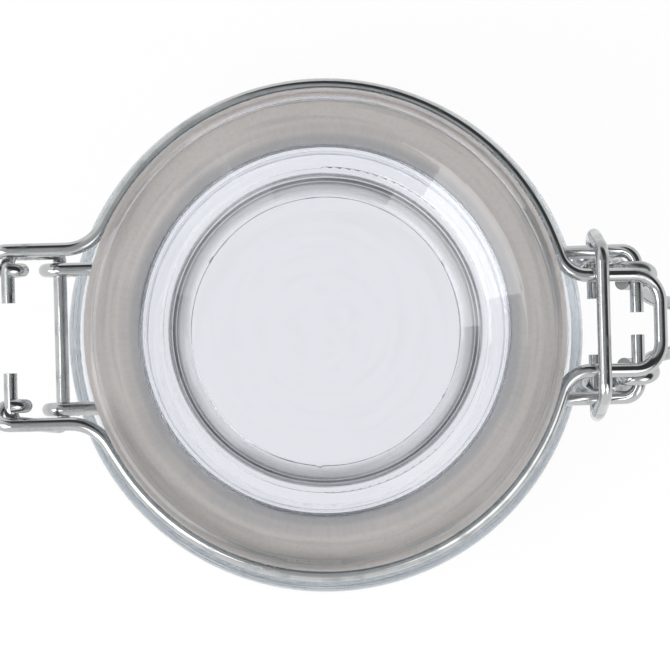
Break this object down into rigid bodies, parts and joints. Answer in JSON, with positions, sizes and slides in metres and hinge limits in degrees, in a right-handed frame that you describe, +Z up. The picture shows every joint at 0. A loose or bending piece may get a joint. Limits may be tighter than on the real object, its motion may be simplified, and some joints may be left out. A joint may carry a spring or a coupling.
{
  "type": "clip-top preserving jar",
  "caption": "Empty round glass jar with a dished glass lid, a flat rubber seal and a bent-wire clip closure whose lever and catch swing open.",
  "frame": {"origin": "centre of the jar's foot on the surface it stands on", "axes": "+Z up along the jar's axis, +X towards the front closure, +Y to its side"},
  "size_m": [0.1484, 0.1068, 0.1115],
  "materials": {
    "jar_glass": "clear, smooth",
    "lid_glass": "clear, pressed",
    "seal_rubber": "matt",
    "wire_steel": "bright drawn wire"
  },
  "bodies": {
    "jar_body": {"jar": "jar_glass", "lid": "lid_glass", "seal_ring": "seal_rubber", "lid_wire": "wire_steel", "neck_wire_left": "wire_steel", "neck_wire_right": "wire_steel", "hinge_bracket": "wire_steel"},
    "lever": {"lever": "wire_steel"},
    "catch": {"catch": "wire_steel"}
  },
  "joints": [
    {"name": "lever_open", "type": "hinge", "parent": "jar_body", "child": "lever", "pos_m": [0.0642, 0, 0.0945], "axis": [0, -1, 0], "range_deg": [0, 110]},
    {"name": "catch_swing", "type": "hinge", "parent": "lever", "child": "catch", "pos_m": [0.0557, 0, 0.0783], "axis": [0, -1, 0], "range_deg": [-126.6, 0]}
  ],
  "couplings": [
    {"joint": "catch_swing", "follows": "lever_open", "ratio": -1.15}
  ]
}
